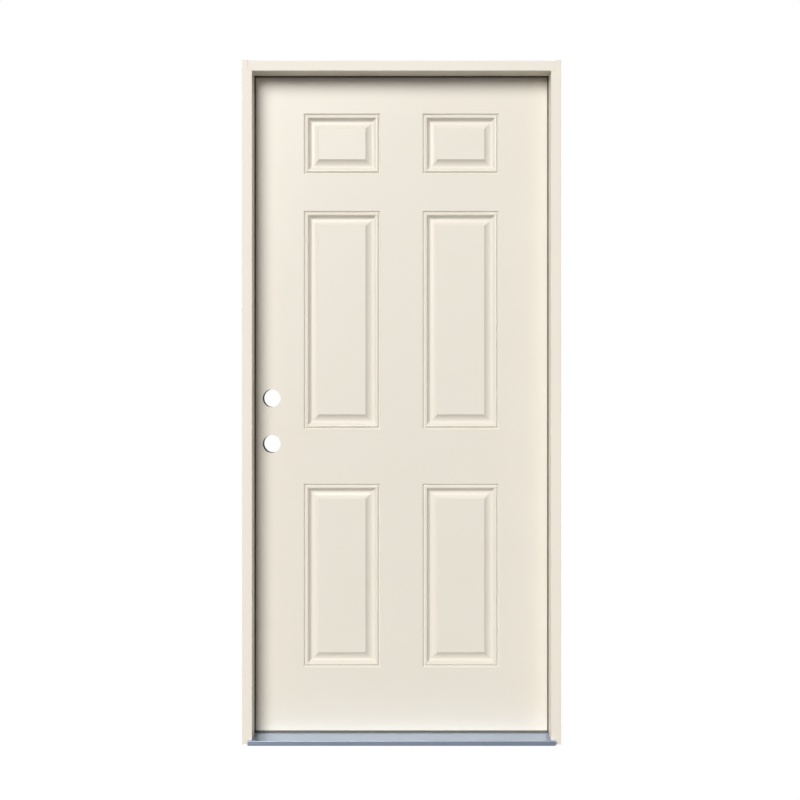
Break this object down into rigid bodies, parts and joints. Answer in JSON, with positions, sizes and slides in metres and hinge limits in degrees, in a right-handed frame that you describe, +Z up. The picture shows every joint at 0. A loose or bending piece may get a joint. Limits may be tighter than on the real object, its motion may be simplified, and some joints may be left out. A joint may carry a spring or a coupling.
{
  "type": "panelled front door with frame",
  "caption": "Pre-hung inswing panelled steel entry door in a rabbeted timber frame with weatherstrip, aluminium sill and butt hinges, bored for a lock and a deadbolt.",
  "frame": {"origin": "on the sill's underside, mid-width of the door, at half the depth of the jambs", "axes": "+X to the right as seen from outside (the hinge side), +Y indoors, +Z up"},
  "size_m": [0.9568, 0.142, 2.052],
  "materials": {
    "primed_steel": "matte primer, cream",
    "painted_pine": "matte primer on finger-jointed pine, cream",
    "bare_pine": "planed, uncoated",
    "foam": "rigid foam, hidden",
    "mill_aluminium": "mill finish",
    "sill_composite": "moulded composite, dark",
    "cap_vinyl": "extruded, satin",
    "weatherstrip": "vinyl-skinned foam, brown",
    "sweep_vinyl": "extruded vinyl, brown",
    "satin_nickel": "satin nickel plate",
    "plated_steel": "zinc plate"
  },
  "bodies": {
    "frame": {"strike_jamb": "painted_pine", "hinge_jamb": "painted_pine", "head_jamb": "painted_pine", "sill_base": "sill_composite", "sill_deck": "mill_aluminium", "threshold_cap": "cap_vinyl", "threshold_cap_screws": "plated_steel", "head_joint_screws": "plated_steel", "sill_joint_screws": "plated_steel", "strike_side_seal": "weatherstrip", "hinge_side_seal": "weatherstrip", "head_seal": "weatherstrip", "strike_corner_pad": "weatherstrip", "hinge_corner_pad": "weatherstrip", "top_hinge_frame_leaf": "satin_nickel", "top_hinge_pin": "satin_nickel", "top_hinge_frame_screws": "satin_nickel", "middle_hinge_frame_leaf": "satin_nickel", "middle_hinge_pin": "satin_nickel", "middle_hinge_frame_screws": "satin_nickel", "bottom_hinge_frame_leaf": "satin_nickel", "bottom_hinge_pin": "satin_nickel", "bottom_hinge_frame_screws": "satin_nickel"},
    "door": {"hinge_stile": "bare_pine", "lock_stile": "bare_pine", "top_rail": "bare_pine", "bottom_rail": "bare_pine", "lock_block": "bare_pine", "foam_core": "foam", "exterior_skin": "primed_steel", "interior_skin": "primed_steel", "door_sweep": "sweep_vinyl", "top_hinge_door_leaf": "satin_nickel", "top_hinge_door_screws": "satin_nickel", "middle_hinge_door_leaf": "satin_nickel", "middle_hinge_door_screws": "satin_nickel", "bottom_hinge_door_leaf": "satin_nickel", "bottom_hinge_door_screws": "satin_nickel"}
  },
  "joints": [
    {"name": "door_swing", "type": "hinge", "parent": "frame", "child": "door", "pos_m": [0.4588, 0.065, 1.0765], "axis": [0, 0, -1], "range_deg": [0, 180]}
  ]
}
